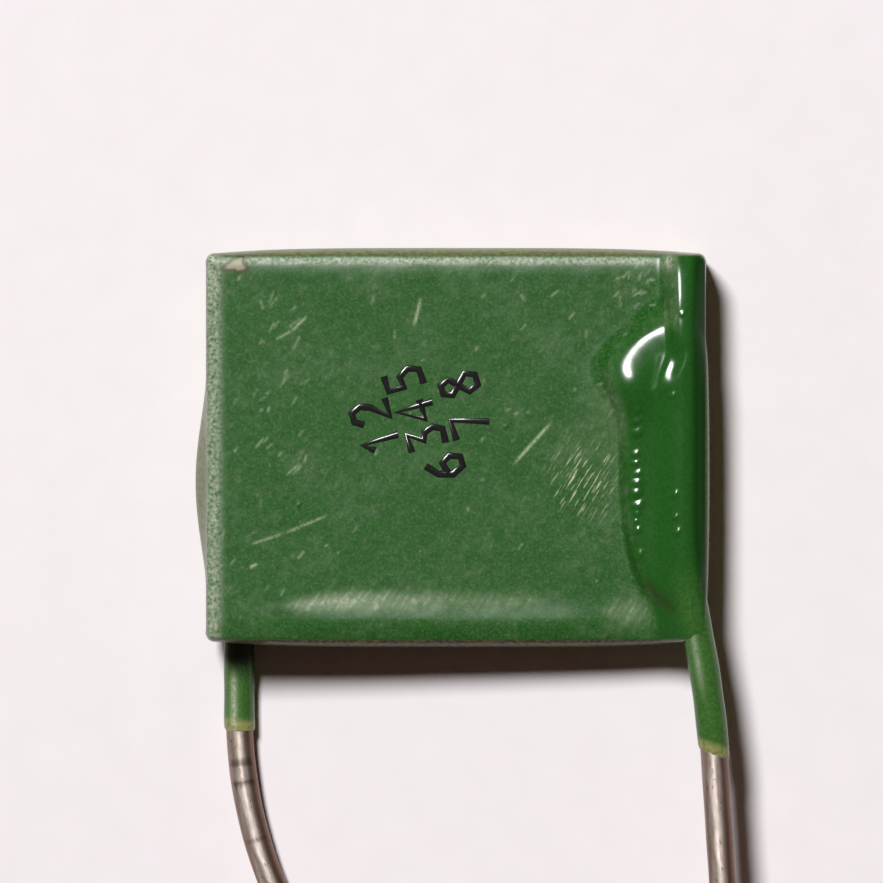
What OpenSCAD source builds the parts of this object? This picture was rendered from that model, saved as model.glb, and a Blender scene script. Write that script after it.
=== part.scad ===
// Rectangular multilayer ceramic capacitor, dipped in lacquer, with two soldered wires.
// Millimetres. The body lies on its back face: the wire and solder under its left end
// lift that end, so every piece is turned by the angle at which the body comes to rest.

/* [Body] */
// Width of the lacquered body across the two wires
body_w = 10.8; // [9:0.1:14]
// Height of the flat lacquered face along the wires
face_h = 8.3; // [7.2:0.1:11]
// Thickness of the fired ceramic block
block_t = 1.35; // [1:0.05:2]

/* [Lacquer] */
// Lacquer over the two large faces of the ceramic
coat_face = 0.15; // [0.1:0.01:0.25]
// Lacquer over the silvered ends
coat_side = 0.12; // [0.08:0.01:0.2]
// Lacquer between the silver and the top and bottom edges of the face
coat_edge = 0.07; // [0.05:0.01:0.15]
// Lacquer round a wire
coat_wire = 0.04; // [0.03:0.005:0.08]
// Lacquer over the solder
coat_solder = 0.05; // [0.04:0.005:0.08]
// How far the top and bottom walls swell past the edge of the face
wall_swell = 0.2; // [0.1:0.02:0.3]
// How far the end walls swell
end_swell = 0.05; // [0.02:0.01:0.12]
// Radius of the corners of the face
corner_r = 0.16; // [0.12:0.01:0.3]
// Width of the soft shoulder along the edges of the face
shoulder_w = 0.45; // [0.3:0.05:0.8]
// How far the face falls away at its edge
shoulder_drop = 0.06; // [0.02:0.01:0.1]
// Height of the fat edge left where the lacquer ran down
bead_h = 0.05; // [0.02:0.01:0.1]
// Run of lacquer down the left wire, from the face's lower edge
left_run = 2.07; // [1:0.1:4]
// Run of lacquer down the right wire
right_run = 2.57; // [1:0.1:4]

/* [Ceramic and electrodes] */
// Electrodes that start from each end
films_per_end = 6; // [3:1:8]
// Thickness of one electrode
film_t = 0.02; // [0.01:0.005:0.03]
// Ceramic above and below the stack of electrodes
cover_t = 0.17; // [0.1:0.01:0.25]
// Ceramic beside the electrodes
film_margin = 0.5; // [0.3:0.05:1]
// Gap between an electrode's free end and the far end of the ceramic
film_gap = 0.9; // [0.5:0.1:1.5]

/* [Terminations and solder] */
// Thickness of the fired silver
silver_t = 0.03; // [0.02:0.005:0.05]
// Width of the silver band on the faces
band_w = 1.7; // [1.4:0.1:2.2]
// Solder between the silver and the wire
solder_film = 0.03; // [0.02:0.005:0.06]
// How much higher the lacquered solder stands than the lacquered wire
solder_cover = 0.04; // [0.02:0.01:0.1]
// Reach of the lacquered solder from the wire towards the middle of the body
lump_reach = 1.05; // [0.8:0.05:1.3]
// Half the length of the lacquered solder along the wire
lump_half = 3.2; // [2:0.1:3.4]
// Centre of the solder below the centre of the face
lump_low = 0.3; // [0:0.1:0.6]
// How far the lacquered solder bulges out over the left end wall
left_bulge = 0.25; // [0.05:0.01:0.3]
// How far it bulges out over the right end wall
right_bulge = 0.12; // [0.05:0.01:0.25]

/* [Wires] */
// Diameter of the tinned copper wire
wire_d = 0.6; // [0.5:0.05:0.7]
// Left wire, behind the body: distance from the end of the face to its middle
left_inset = 0.66; // [0.44:0.02:1]
// Right wire, in front of the body: distance from the end of the face to its middle
right_inset = 0.47; // [0.44:0.01:1]
// Distance of a wire's inner end from the face's upper edge
tip_gap = 0.45; // [0.4:0.05:1]
// Length of each wire from the face's lower edge to its free end
lead_length = 20; // [12:1:30]
// Lean of the right wire where it crosses the lower edge
right_lean = 10.4; // [0:0.2:14]
// Height above the lower edge at which the right wire starts to lean
lean_start = 2.58; // [2:0.1:3.5]
// Radius of the bend into the lean
lean_r = 8; // [4:0.5:10]
// Lean of the right wire's free length
free_lean = 3.8; // [0:0.1:9]
// Distance below the lower edge at which the right wire starts to straighten
free_start = 0.3; // [0.1:0.05:1]
// Radius of the long bend into the free length, which ends below the run of lacquer
free_r = 20.5; // [14:0.5:26]
// Turn of the left wire towards the right one
left_turn = 24; // [0:1:28]
// Radius of that turn
turn_r = 10; // [6:1:14]
// Distance below the edge at which the left wire starts to turn
turn_start = 1.65; // [1.6:0.05:3]
// Radius of the two small bends that bring the left wire down to the surface
foot_r = 5; // [3:0.5:8]
// Clearance of the left wire above the surface
foot_gap = 0.01; // [0.005:0.005:0.03]

/* [Hidden] */
// Films alternate between the ends, left first
film_count = 2 * films_per_end;
FILMS = [for (i = [1:film_count]) str(i % 2 == 1 ? "left" : "right", "_electrode_", ceil(i / 2))];

LEFT = -1;
RIGHT = 1;
// A length too short to see, for pieces that must not vanish or touch
hair = 0.02;
half_w = body_w / 2;
half_h = face_h / 2;
left_x = half_w - left_inset;
right_x = half_w - right_inset;
block_w = body_w - 2 * (coat_side + silver_t);
block_h = face_h - 2 * (coat_edge + silver_t);
film_pitch = (block_t - 2 * cover_t - film_t) / (film_count - 1);
face_z = block_t / 2 + coat_face;
silver_z = block_t / 2 + silver_t;
wire_z = silver_z + solder_film + wire_d / 2;

// Shape of the draped lacquer. Powers: the fall of the ridge's inner and outer side, the
// meeting of ridge and solder, the solder's outline on its inner and outer side, its dome
// and its soft foot
INNER_BELL = 4;
OUTER_BELL = 2.5;
MEET = 4;
INNER_OVAL = 3.4;
OUTER_OVAL = 2.4;
DOME = 3;
FOOT = 1.4;
// The solder's inner side stands out further by this much, at this height on the face and
// over this half length
flare = 0.17;
flare_y = 1.7;
flare_w = 0.75;
// The solder reaches this share of its inner reach towards the end wall
outer_share = 0.7;
// The ridge keeps this share of its height over the wire's inner end, and this share where
// the bare run leaves the face, and rises to full height over these lengths
tip_share = 0.45;
tip_rise = tip_gap * 0.9;
low_share = 0.5;
low_start = 0.3;
low_rise = 0.9;
// The fat edge: its distance from the lower edge and its half width, its ends' distance
// from the body's ends, and the length over which it fades there
bead_up = 0.35;
bead_w = 0.3;
bead_in = 1.6;
bead_fade = 1.5;
// The long walls swell less towards the ends, by this share and with this power
swell_fade = 0.65;
FADE = 4;
// The bulges of the left and right end walls: their middles below the centre of the face,
// their half lengths and their powers along the wall
bulge_low = [0.75, 0.6];
bulge_half = [2.4, 2.9];
BULGE_ALONG = [1.9, 0.5];
// They are highest at this share of the way round from the wire's face, with this power
bulge_turn = 1.5;
BULGE_ACROSS = 1.5;
// A run of lacquer starts this far above the face's lower edge, inside the ridge
run_start = 1.15;
// The run is cut out of a longer sleeve by a box of this half width
run_box = 3;
// Power of the solder's own dome
MOUND = 1.5;

// Heights above the lacquered face
ridge_h = wire_z + wire_d / 2 + coat_wire - face_z;
lump_h = ridge_h + solder_cover;
crest_h = blend(ridge_h, lump_h);
// Half width of the lacquer draped over a wire, at about a third of its height: on the inner
// side, and on the outer side, where it fills in over the end
ridge_w = wire_d / 2 + 2 * coat_wire;
ridge_out = ridge_w + coat_side;

// The body lies on the solder behind its left end and on its right back edge
rest_tilt = atan(crest_h / (half_w + left_x));
rest_lift = (face_z + crest_h) * cos(rest_tilt) - left_x * sin(rest_tilt);

// Points of a route: a straight is [length], a bend is [radius, angle, direction]
tip_y = half_h - tip_gap;
lean_y = -half_h + lean_start;
lean_run = (lean_start + free_start - lean_r * sin(right_lean)) / cos(right_lean);
free_bend = right_lean - free_lean;
arc_mm = PI / 180;
free_run = lead_length - free_start / cos(right_lean) - free_r * free_bend * arc_mm;
right_route = [
    [tip_y - lean_y],
    [lean_r, right_lean, 0],
    [lean_run],
    [free_r, free_bend, 180],
    [free_run],
];
foot_drop = crest_h - ridge_h - foot_gap;
foot_bend = acos(1 - foot_drop / (2 * foot_r));
foot_run = 2 * foot_r * sin(foot_bend);
left_route = [
    [tip_y + half_h],
    [foot_r, foot_bend, -90],
    [foot_r, foot_bend, 90],
    [max(turn_start - foot_run, hair)],
    [turn_r, left_turn, rest_tilt],
    [lead_length - turn_start - turn_r * left_turn * arc_mm],
];

// The frame's origin is under the middle of the whole part, on the surface
right_end_x = right_x + lean_r * (1 - cos(right_lean)) + lean_run * sin(right_lean)
    + free_r * (cos(free_lean) - cos(right_lean)) + free_run * sin(free_lean) + wire_d / 2;
left_end_x = -half_w - end_swell - left_bulge;
origin_x = (right_end_x + left_end_x) / 2;
origin_y = -(lead_length - wall_swell) / 2;

// Columns of the grid on the lacquer's two faces, as distances outward from a wire's middle:
// even steps over the solder's flank, close ones over the wire, then the corner and the end
flank_w = lump_reach + flare + coat_edge;
flank_n = 5;
rim_step = corner_r * 0.6;
RIDGE_STEPS = [-1.4, -1.05, -0.8, -0.53, -0.27, 0, 0.27, 0.53, 0.8];
function stations(inset) = concat(
    [for (i = [0:flank_n - 1]) -flank_w + (flank_w + RIDGE_STEPS[0] * ridge_w) * i / flank_n],
    [for (s = RIDGE_STEPS) s * ridge_w],
    [inset - min(rim_step, (inset - RIDGE_STEPS[len(RIDGE_STEPS) - 1] * ridge_w) / 2), inset]
);
LEFT_COLUMNS = [for (u = stations(left_inset)) -left_x - u];
RIGHT_COLUMNS = [for (u = stations(right_inset)) right_x + u];
mid_n = 4;
mid_start = LEFT_COLUMNS[0];
mid_w = RIGHT_COLUMNS[0] - mid_start;
COLUMNS = concat(
    [for (i = [len(LEFT_COLUMNS) - 1:-1:0]) LEFT_COLUMNS[i]],
    [for (i = [1:mid_n - 1]) mid_start + mid_w * i / mid_n],
    RIGHT_COLUMNS
);
EDGE_STEPS = [0, 0.2, 0.55, 1];
row_n = 22;
inner_h = face_h - 2 * shoulder_w;
ROWS = concat(
    [for (s = EDGE_STEPS) -half_h + shoulder_w * s],
    [for (i = [1:row_n - 1]) inner_h * (i / row_n - 0.5)],
    [for (i = [0:len(EDGE_STEPS) - 1]) half_h - shoulder_w * EDGE_STEPS[len(EDGE_STEPS) - 1 - i]]
);
wall_n = 6;
nx = len(COLUMNS);
ny = len(ROWS);

function clamp(x, low, high) = min(max(x, low), high);
function smooth(t) = let (c = clamp(t, 0, 1)) c * c * (3 - 2 * c);
function hump(x, w, power = 2) = exp(-pow(abs(x) / w, power));
function blend(a, b) = pow(pow(a, MEET) + pow(b, MEET), 1 / MEET);

// Middle of a wire at height y on the face; the left one stays straight there
function lean_x(y) =
    let (down = lean_y - y, arc = lean_r * sin(right_lean))
    down <= 0 ? 0
    : down < arc ? lean_r - sqrt(lean_r * lean_r - down * down)
    : lean_r * (1 - cos(right_lean)) + (down - arc) * tan(right_lean);
function wire_x(side, y) = side == RIGHT ? right_x + lean_x(y) : -left_x;

// The solder is a dome on a superellipse: 0 at its middle, 1 on its outline; u points out
// over the end wall
function lump_rho(u, y) =
    let (inner = u < 0,
         reach = inner ? lump_reach + flare * hump(y - flare_y, flare_w) : lump_reach * outer_share,
         oval = inner ? INNER_OVAL : OUTER_OVAL)
    pow(pow(abs(u) / reach, oval) + pow(abs(y + lump_low) / lump_half, oval), 1 / oval);
function lump(u, y) = lump_h * pow(max(1 - pow(lump_rho(u, y), DOME), 0), FOOT);

// The ridge over the wire rounds off above its inner end and lets the bare sleeve
// take over below the solder
function ridge(u, y) =
    let (top = tip_share + (1 - tip_share) * smooth((half_h - y) / tip_rise),
         low = low_share + (1 - low_share) * smooth((y + half_h - low_start) / low_rise),
         side = u < 0 ? hump(u, ridge_w, INNER_BELL) : hump(u, ridge_out, OUTER_BELL))
    ridge_h * top * low * side;
function film(side, x, y) =
    let (u = side * (x - wire_x(side, y)))
    blend(ridge(u, y), lump(side * x - (side == RIGHT ? right_x : left_x), y));
function shoulder(x, y) =
    let (d = min(half_w - abs(x), half_h - abs(y)))
    shoulder_drop * pow(clamp(1 - d / shoulder_w, 0, 1), 2);
function bead(x, y) =
    bead_h * hump(y + half_h - bead_up, bead_w)
    * smooth((half_w - bead_in - abs(x)) / bead_fade);
function front_z(x, y) = face_z - shoulder(x, y) + film(RIGHT, x, y) + bead(x, y);
function back_z(x, y) = -face_z + shoulder(x, y) - film(LEFT, x, y) - bead(x, y);

// Rounded corners: a point near a corner moves onto the arc, and walls grow outwards from it
function corner(x, y) = [
    clamp(x, corner_r - half_w, half_w - corner_r),
    clamp(y, corner_r - half_h, half_h - corner_r),
];
function outward(x, y) = let (d = [x, y] - corner(x, y)) d / norm(d);
function outline(x, y, grow = 0) = corner(x, y) + outward(x, y) * (corner_r + grow);

// Swell of the wall at angle a, from 0 at the front edge to 180 at the back edge
function bulge(side, y, a) =
    let (n = side == LEFT ? 0 : 1,
         along = max(1 - pow((y + bulge_low[n]) / bulge_half[n], 2), 0),
         turn = clamp((side == LEFT ? 180 - a : a) * bulge_turn, 0, 180))
    (side == LEFT ? left_bulge : right_bulge) * pow(along, BULGE_ALONG[n])
    * pow(sin(turn), BULGE_ACROSS);
function swell(x, y, a) =
    let (n = outward(x, y),
         crown = 1 - swell_fade * pow(x / half_w, FADE),
         over_end = end_swell * sin(a) + bulge(x > 0 ? RIGHT : LEFT, y, a))
    abs(n[0]) * over_end + abs(n[1]) * wall_swell * crown * sin(a);

// The face's rim, counter-clockwise from its lower left corner, as column and row numbers
RIM = concat(
    [for (i = [0:nx - 2]) [i, 0]],
    [for (j = [0:ny - 2]) [nx - 1, j]],
    [for (i = [nx - 1:-1:1]) [i, ny - 1]],
    [for (j = [ny - 1:-1:1]) [0, j]]
);
rim_n = len(RIM);

function on_rim(i, j) = i == 0 || i == nx - 1 || j == 0 || j == ny - 1;
function face_point(i, j, front) =
    let (x = COLUMNS[i],
         y = ROWS[j],
         p = on_rim(i, j) ? outline(x, y) : [x, y])
    [p[0], p[1], front ? front_z(x, y) : back_z(x, y)];
function wall_point(m, k) =
    let (x = COLUMNS[RIM[m][0]],
         y = ROWS[RIM[m][1]],
         a = 180 * k / wall_n,
         p = outline(x, y, swell(x, y, a)),
         t = (1 - cos(a)) / 2)
    [p[0], p[1], front_z(x, y) * (1 - t) + back_z(x, y) * t];

// Numbers of the points: the front grid, the back grid, then the rings of the wall
function grid_at(i, j, front) = (front ? 0 : nx * ny) + j * nx + i;
function wall_at(m, k) =
    let (r = m % rim_n)
    k == 0 ? grid_at(RIM[r][0], RIM[r][1], true)
    : k == wall_n ? grid_at(RIM[r][0], RIM[r][1], false)
    : 2 * nx * ny + (k - 1) * rim_n + r;

// The dipped body without its runs down the wires
module lacquered_body() {
    points = concat(
        [for (j = [0:ny - 1], i = [0:nx - 1]) face_point(i, j, true)],
        [for (j = [0:ny - 1], i = [0:nx - 1]) face_point(i, j, false)],
        [for (k = [1:wall_n - 1], m = [0:rim_n - 1]) wall_point(m, k)]
    );
    front = [
        for (j = [0:ny - 2], i = [0:nx - 2])
            let (a = grid_at(i, j, true), b = grid_at(i, j + 1, true),
                 c = grid_at(i + 1, j + 1, true), d = grid_at(i + 1, j, true))
            each [[a, b, c], [a, c, d]]
    ];
    back = [
        for (j = [0:ny - 2], i = [0:nx - 2])
            let (a = grid_at(i, j, false), b = grid_at(i, j + 1, false),
                 c = grid_at(i + 1, j + 1, false), d = grid_at(i + 1, j, false))
            each [[c, b, a], [d, c, a]]
    ];
    wall = [
        for (k = [0:wall_n - 1], m = [0:rim_n - 1])
            let (a = wall_at(m, k), b = wall_at(m + 1, k),
                 c = wall_at(m + 1, k + 1), d = wall_at(m, k + 1))
            each [[a, b, c], [a, c, d]]
    ];
    polyhedron(points = points, faces = concat(front, back, wall), convexity = 6);
}

// Moves by v in whole microns and then by the rest, so that the stretches of a wire meet
module shift(v) {
    coarse = [for (c = v) round(c * 1000) / 1000];
    translate(coarse)
        translate(v - coarse)
            children();
}

// One wire of diameter d along a route, from the origin up the local Z axis
module bent_wire(route, d, i = 0) {
    if (i < len(route)) {
        step = route[i];
        if (len(step) == 1) {
            cylinder(d = d, h = step[0], $fn = 32);
            shift([0, 0, step[0]])
                bent_wire(route, d, i + 1);
        } else {
            r = step[0];
            rotate([0, 0, step[2]]) {
                translate([r, 0, 0])
                    rotate([90, 0, 180])
                        rotate_extrude(angle = step[1], $fn = 180)
                            translate([r, 0])
                                circle(d = d, $fn = 32);
                shift([r * (1 - cos(step[1])), 0, r * sin(step[1])])
                    rotate([0, step[1], 0])
                        rotate([0, 0, -step[2]])
                            bent_wire(route, d, i + 1);
            }
        }
    }
}

// A wire where it lies on its termination: right in front, left behind
module placed_wire(side, d = wire_d) {
    translate([wire_x(side, tip_y), tip_y, side * wire_z])
        rotate([90, 0, 0])
            bent_wire(side == RIGHT ? right_route : left_route, d);
}

// The lacquer that ran down a wire
module run_down(side) {
    run = side == RIGHT ? right_run : left_run;
    intersection() {
        placed_wire(side, wire_d + 2 * coat_wire);
        translate([side * half_w - run_box, -half_h - run, -run_box])
            cube([2 * run_box, run + run_start, 2 * run_box]);
    }
}

// Solder on the band, without the hole that the wire fills
module solder_mound(side) {
    rings = 6;
    spokes = 24;
    inset = coat_solder * 2;
    reach_in = lump_reach - inset;
    reach_out = block_w / 2 + silver_t - (side == RIGHT ? right_x : left_x) - hair;
    half = lump_half - inset;
    crest = lump_h + face_z - silver_z - coat_solder;
    function bow(v) = sign(v) * pow(abs(v), 2 / OUTER_OVAL);
    function around(a) = [
        (cos(a) < 0 ? reach_in : reach_out) * bow(cos(a)),
        half * bow(sin(a)),
    ];
    points = concat(
        [[0, 0, crest]],
        [
            for (r = [1:rings], s = [0:spokes - 1])
                let (t = r / rings, p = around(360 * s / spokes) * sin(90 * t))
                [p[0], p[1], crest * pow(cos(90 * t), MOUND)]
        ]
    );
    crown = [for (s = [0:spokes - 1]) [0, 1 + (s + 1) % spokes, 1 + s]];
    flank = [
        for (r = [0:rings - 2], s = [0:spokes - 1])
            let (a = 1 + r * spokes + s, b = 1 + r * spokes + (s + 1) % spokes)
            each [[a, b, b + spokes], [a, b + spokes, a + spokes]]
    ];
    foot = [[for (s = [0:spokes - 1]) 1 + (rings - 1) * spokes + s]];
    rotate([0, side == RIGHT ? 0 : 180, 0])
        translate([side == RIGHT ? right_x : left_x, -lump_low, silver_z])
            polyhedron(points = points, faces = concat(crown, flank, foot), convexity = 4);
}

// The silvered end as a solid block
module silver_end(side) {
    length = band_w + silver_t;
    translate([side * (block_w / 2 + silver_t - length / 2), 0, 0])
        cube([length, block_h + 2 * silver_t, block_t + 2 * silver_t], center = true);
}

module block_box() {
    cube([block_w, block_h, block_t], center = true);
}

module film_box(i) {
    side = i % 2 == 1 ? LEFT : RIGHT;
    length = block_w - film_gap;
    translate([side * (block_w - length) / 2, 0, (i - (film_count + 1) / 2) * film_pitch])
        cube([length, block_h - 2 * film_margin, film_t], center = true);
}

// Turns and lifts the body's own frame to where it rests
module at_rest() {
    translate([-origin_x, -origin_y, rest_lift])
        rotate([0, rest_tilt, 0])
            children();
}

module lacquer_coat() {
    color([0.24, 0.41, 0.22])
        at_rest()
            difference() {
                union() {
                    lacquered_body();
                    run_down(LEFT);
                    run_down(RIGHT);
                }
                block_box();
                for (side = [LEFT, RIGHT]) {
                    silver_end(side);
                    solder_mound(side);
                    placed_wire(side);
                }
            }
}

module ceramic_block() {
    color([0.86, 0.8, 0.68])
        at_rest()
            difference() {
                block_box();
                for (i = [1:film_count])
                    film_box(i);
            }
}

module electrode(i) {
    color([0.45, 0.45, 0.47])
        at_rest()
            film_box(i);
}

module termination(side) {
    color([0.83, 0.83, 0.82])
        at_rest()
            difference() {
                silver_end(side);
                block_box();
            }
}

module solder(side) {
    color([0.68, 0.69, 0.71])
        at_rest()
            difference() {
                solder_mound(side);
                placed_wire(side);
            }
}

module lead(side) {
    color([0.62, 0.56, 0.52])
        at_rest()
            placed_wire(side);
}

lacquer_coat();
ceramic_block();
termination(LEFT);  // left_termination
termination(RIGHT);  // right_termination
solder(LEFT);  // left_solder
solder(RIGHT);  // right_solder
lead(LEFT);  // left_lead
lead(RIGHT);  // right_lead
for (i = [1:film_count])
    electrode(i);
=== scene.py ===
# %% [markdown]
# # A dipped ceramic capacitor
# This part is a flat ceramic block with silvered ends. A wire is soldered in front of its
# right end and another behind its left end, and the whole was dipped in green lacquer that
# drapes over wire and solder and runs a little way down the wires.
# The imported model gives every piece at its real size. Here each one gets its finish, and
# the lacquer, which is a faceted shell there, gets a fine skin with the same shape.

# %% Load the frame
import math
import random

import bmesh
import bpy
import numpy as np
from mathutils import Matrix, Vector


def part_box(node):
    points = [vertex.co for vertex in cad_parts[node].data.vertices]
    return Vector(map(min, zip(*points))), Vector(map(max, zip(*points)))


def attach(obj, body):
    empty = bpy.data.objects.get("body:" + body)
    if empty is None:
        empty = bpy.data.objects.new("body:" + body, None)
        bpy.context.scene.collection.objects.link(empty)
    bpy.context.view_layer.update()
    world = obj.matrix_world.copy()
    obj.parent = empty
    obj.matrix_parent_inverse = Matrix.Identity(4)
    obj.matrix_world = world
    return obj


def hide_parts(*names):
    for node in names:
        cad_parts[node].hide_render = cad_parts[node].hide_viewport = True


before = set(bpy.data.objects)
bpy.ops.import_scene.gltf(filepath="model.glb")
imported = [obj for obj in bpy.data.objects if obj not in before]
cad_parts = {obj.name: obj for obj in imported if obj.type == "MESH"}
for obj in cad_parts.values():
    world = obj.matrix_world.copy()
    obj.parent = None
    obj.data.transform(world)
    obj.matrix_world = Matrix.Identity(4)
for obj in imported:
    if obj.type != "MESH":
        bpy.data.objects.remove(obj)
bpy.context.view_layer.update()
MM = 0.001
print("nodes:", len(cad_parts))

# %% [markdown]
# ## The body's own frame
# The body lies slightly tilted, on the solder behind its left end. It could be shaped flat
# and then turned as an object, but then its patterns would turn with it. So each surface is
# described square to the body, where that is easiest: x across the two wires, y along them
# and z out of the front face, in millimetres, with the middle of the ceramic at the origin.
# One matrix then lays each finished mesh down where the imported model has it.

# %% Place of the body
BODY_W, FACE_H, BLOCK_T = 10.8, 8.3, 1.35
COAT_FACE, COAT_WIRE = 0.15, 0.04
SILVER_T, SOLDER_FILM, SOLDER_COVER = 0.03, 0.03, 0.04
WIRE_D, LEFT_INSET, RIGHT_INSET, TIP_GAP = 0.6, 0.66, 0.47, 0.45
HALF_W, HALF_H, WIRE_R = BODY_W / 2, FACE_H / 2, WIRE_D / 2
LEFT_X, RIGHT_X = HALF_W - LEFT_INSET, HALF_W - RIGHT_INSET
FACE_Z = BLOCK_T / 2 + COAT_FACE
SILVER_Z = BLOCK_T / 2 + SILVER_T
WIRE_Z = SILVER_Z + SOLDER_FILM + WIRE_R
MEET_POWER = 4


def blend(a, b):
    """The higher of two heights, with a soft meeting."""
    return (a**MEET_POWER + b**MEET_POWER) ** (1 / MEET_POWER)


RIDGE_H = WIRE_Z + WIRE_R + COAT_WIRE - FACE_Z
LUMP_H = RIDGE_H + SOLDER_COVER
CREST_H = blend(RIDGE_H, LUMP_H)
TILT = math.atan(CREST_H / (HALF_W + LEFT_X))
block_low, block_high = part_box("ceramic_block")
CENTRE = (block_low + block_high) / 2
TURN = Matrix.Rotation(TILT, 4, "Y")
LAY_DOWN = Matrix.Translation(CENTRE) @ TURN @ Matrix.Scale(MM, 4)
print("tilt", round(math.degrees(TILT), 2), "centre in mm", [round(c / MM, 3) for c in CENTRE])

# %% [markdown]
# ## Camera
# The camera looks straight at the front face. A near camera would show the side walls, so
# it stands far off with a long lens, and the outline stays square.

# %% Camera
IMAGE_W = 883
PX_PER_MM = 46.0
VIEW_X, VIEW_Y = -0.315, 0.130
CAMERA_FAR = 300 * MM
SENSOR_W = 36
NEAREST, FARTHEST = 1 * MM, 10
camera_data = bpy.data.cameras.new("camera")
camera_data.sensor_width = SENSOR_W
camera_data.lens = SENSOR_W * CAMERA_FAR / (IMAGE_W / PX_PER_MM * MM)
camera_data.clip_start = NEAREST
camera_data.clip_end = FARTHEST
camera = bpy.data.objects.new("camera", camera_data)
camera.matrix_world = Matrix.Translation(LAY_DOWN @ Vector((VIEW_X, VIEW_Y, FACE_Z)))
camera.matrix_world = camera.matrix_world @ TURN @ Matrix.Translation((0, 0, CAMERA_FAR))
bpy.context.scene.collection.objects.link(camera)
bpy.context.scene.camera = camera
print("camera lens", round(camera_data.lens))

# %% [markdown]
# ## Colours and nodes
# Colours are written as the hex codes that a screen shows, and one function turns them into
# the linear values that light is worked out with. A finish is a colour with other colours
# laid over it, as dirt and wear lie on a real surface, so a material is a short list of
# layers, each with numbers that say where it lies and how strongly.

# %% Helpers for colours and nodes
DARK_END, DARK_SLOPE, CURVE_SHIFT, CURVE_POWER = 0.04045, 12.92, 0.055, 2.4


def srgb(code):
    """A hex colour as the linear values that the shader works in."""
    channels = [int(code[i : i + 2], 16) / 255 for i in (1, 3, 5)]
    curved = [((c + CURVE_SHIFT) / (1 + CURVE_SHIFT)) ** CURVE_POWER for c in channels]
    return [c / DARK_SLOPE if c <= DARK_END else bright for c, bright in zip(channels, curved)] + [1]


def add(tree, kind, inputs=None, **settings):
    """Adds a node. inputs maps a socket's name or number to a value or to an output socket."""
    node = tree.nodes.new(kind)
    for name, value in settings.items():
        setattr(node, name, value)
    for name, value in (inputs or {}).items():
        if isinstance(value, bpy.types.NodeSocket):
            tree.links.new(value, node.inputs[name])
        else:
            node.inputs[name].default_value = value
    return node


def layered(tree, base, layers):
    """Lays colours over a base colour, each as strongly as the product of its numbers."""
    colour = srgb(base) if isinstance(base, str) else base
    for laid, strength, *others in layers:
        for other in others:
            both = {0: strength, 1: other}
            strength = add(tree, "ShaderNodeMath", both, operation="MULTIPLY", use_clamp=True).outputs[0]
        over = srgb(laid) if isinstance(laid, str) else laid
        mix = {"Factor": strength, "A": colour, "B": over}
        colour = add(tree, "ShaderNodeMix", mix, data_type="RGBA").outputs["Result"]
    return colour


def new_material(name):
    """An empty material and its tree."""
    material = bpy.data.materials.new(name)
    material.use_nodes = True
    material.node_tree.nodes.clear()
    return material, material.node_tree


print("green of the lacquer, linear:", [round(c, 3) for c in srgb("#225B19")])

# %% [markdown]
# ## Light and floor
# The lamp is about as wide as a desk lamp's shade, and stands up and to the left. A point of
# light would give hard shadows and pinprick glints. The lamp's width sets how soft the
# shadow's edge is and how broad the glints in the lacquer are. The world only fills the
# shadows, and is brighter for the camera and for reflections than for the object itself.

# %% Lamp
LIGHT_WAY = Vector((-0.315, 0.49, 1)).normalized()
LAMP_FAR = 520 * MM
LAMP_WIDE = 125 * MM
LAMP_WATTS = 2.95
lamp_data = bpy.data.lights.new("soft_lamp", "AREA")
lamp_data.shape = "DISK"
lamp_data.size = LAMP_WIDE
lamp_data.energy = LAMP_WATTS
lamp = bpy.data.objects.new("soft_lamp", lamp_data)
lamp_way = TURN.to_3x3() @ LIGHT_WAY
lamp.location = CENTRE + lamp_way * LAMP_FAR
lamp.rotation_euler = lamp_way.to_track_quat("Z", "Y").to_euler()
bpy.context.scene.collection.objects.link(lamp)
print("lamp at", [round(c / MM) for c in lamp.location], "mm")

# %% World
# The fill is dim and warm, as from a room, and what is mirrored is a little brighter.
FILL, MIRRORED, BACKGROUND = "#33241E", "#8C8988", "#F7F3F3"
world = bpy.data.worlds.new("studio")
world.use_nodes = True
bpy.context.scene.world = world
tree = world.node_tree
tree.nodes.clear()
ways = add(tree, "ShaderNodeLightPath").outputs
through = {0: ways["Is Camera Ray"], 1: ways["Is Transmission Ray"]}
seen = add(tree, "ShaderNodeMath", through, operation="MAXIMUM").outputs[0]
sky = layered(tree, FILL, [(MIRRORED, ways["Is Glossy Ray"]), (BACKGROUND, seen)])
glow = add(tree, "ShaderNodeBackground", {"Color": sky})
add(tree, "ShaderNodeOutputWorld", {"Surface": glow.outputs[0]})
print("world nodes:", len(tree.nodes))

# %% Floor
# Uncoated white paper, pressed from pulp: the eye sees a matt white, faintly mottled.
FLOOR_WIDE = 600 * MM
PAPER_MOTTLE = 0.9 * MM
bm = bmesh.new()
bmesh.ops.create_grid(bm, x_segments=1, y_segments=1, size=FLOOR_WIDE / 2)
floor_mesh = bpy.data.meshes.new("floor")
bm.to_mesh(floor_mesh)
bm.free()
floor = bpy.data.objects.new("floor", floor_mesh)
bpy.context.scene.collection.objects.link(floor)
paper, tree = new_material("white_paper_uncoated")
place = add(tree, "ShaderNodeTexCoord").outputs["Object"]
cloudy = {"Vector": place, "Scale": 1 / PAPER_MOTTLE, "Detail": 4.0}
mottle = add(tree, "ShaderNodeTexNoise", cloudy).outputs["Fac"]
shade = layered(tree, "#F2ECEE", [("#F9F3F5", mottle)])
matt = {"Base Color": shade, "Roughness": 0.95, "Specular IOR Level": 0.1}
shader = add(tree, "ShaderNodeBsdfPrincipled", matt)
add(tree, "ShaderNodeOutputMaterial", {"Surface": shader.outputs[0]})
floor_mesh.materials.append(paper)
print("floor", round(FLOOR_WIDE / MM), "mm wide")

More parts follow.
